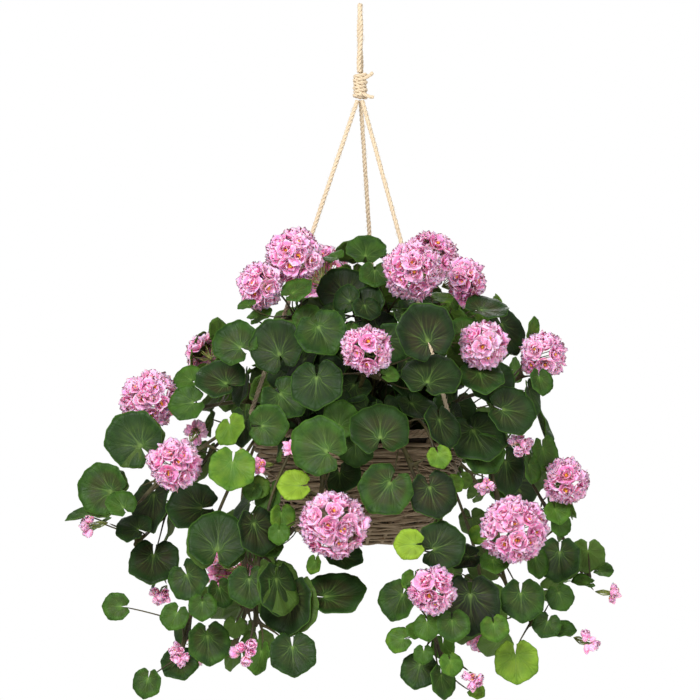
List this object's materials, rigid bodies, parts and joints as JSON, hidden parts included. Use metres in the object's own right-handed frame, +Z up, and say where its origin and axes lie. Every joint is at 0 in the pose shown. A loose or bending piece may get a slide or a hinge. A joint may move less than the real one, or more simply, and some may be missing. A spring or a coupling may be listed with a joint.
{
  "type": "geranium hanging basket",
  "caption": "Round twig-weave hanging basket of trailing pink geraniums: jute ropes meet under a rope loop, and leafy shoots rise over the rim and trail below the bowl.",
  "frame": {"origin": "bearing point inside the top of the rope loop, where the hook goes", "axes": "+Z up along the hanging line, +X to the right and along the widest spread of the plant, -Y to the front"},
  "size_m": [0.4805, 0.4144, 0.6128],
  "materials": {
    "jute": "twisted natural jute rope, matt and fibrous",
    "twig": "dark brown bark-on vine twigs, dull",
    "soil": "dark bark compost, rough and matt",
    "foliage": "geranium leaves, soft satin with pale veins and a darker ring; stems brown-green",
    "petal": "thin pink petals, paler at the edge, with yellow-orange eyes"
  },
  "bodies": {
    "root": {"basket_bowl": "twig", "basket_rim": "twig", "flower_center_back_1": "petal", "flower_center_back_2": "petal", "flower_center_back_3": "petal", "flower_center_front_1": "petal", "flower_crown_1": "petal", "flower_crown_2": "petal", "flower_crown_3": "petal", "flower_crown_4": "petal", "flower_crown_back_1": "petal", "flower_crown_back_2": "petal", "flower_front_1": "petal", "flower_front_2": "petal", "flower_front_3": "petal", "flower_shoulder_right_1": "petal", "flower_shoulder_right_2": "petal", "flower_side_left_1": "petal", "flower_side_left_2": "petal", "flower_side_left_3": "petal", "flower_side_left_front_1": "petal", "flower_side_left_front_2": "petal", "flower_trail_back_left_1": "petal", "flower_trail_back_left_2": "petal", "flower_trail_back_left_3": "petal", "flower_trail_back_middle_1": "petal", "flower_trail_back_middle_2": "petal", "flower_trail_back_right_1": "petal", "flower_trail_back_right_2": "petal", "flower_trail_front_right_1": "petal", "flower_trail_front_right_2": "petal", "flower_trail_left_1": "petal", "flower_trail_left_2": "petal", "flower_trail_right_1": "petal", "flower_trail_right_2": "petal", "flower_trail_right_3": "petal", "flower_trail_right_4": "petal", "flower_trail_right_inner_1": "petal", "flower_trail_right_inner_2": "petal", "plant_center_back": "foliage", "plant_center_front": "foliage", "plant_crown": "foliage", "plant_crown_back": "foliage", "plant_front": "foliage", "plant_shoulder_right": "foliage", "plant_side_left": "foliage", "plant_side_left_front": "foliage", "plant_trail_back_left": "foliage", "plant_trail_back_middle": "foliage", "plant_trail_back_right": "foliage", "plant_trail_front_right": "foliage", "plant_trail_left": "foliage", "plant_trail_right": "foliage", "plant_trail_right_inner": "foliage", "rope_binding": "jute", "rope_leg_back": "jute", "rope_leg_left": "jute", "rope_leg_right": "jute", "rope_loop": "jute", "soil": "soil"}
  },
  "joints": []
}
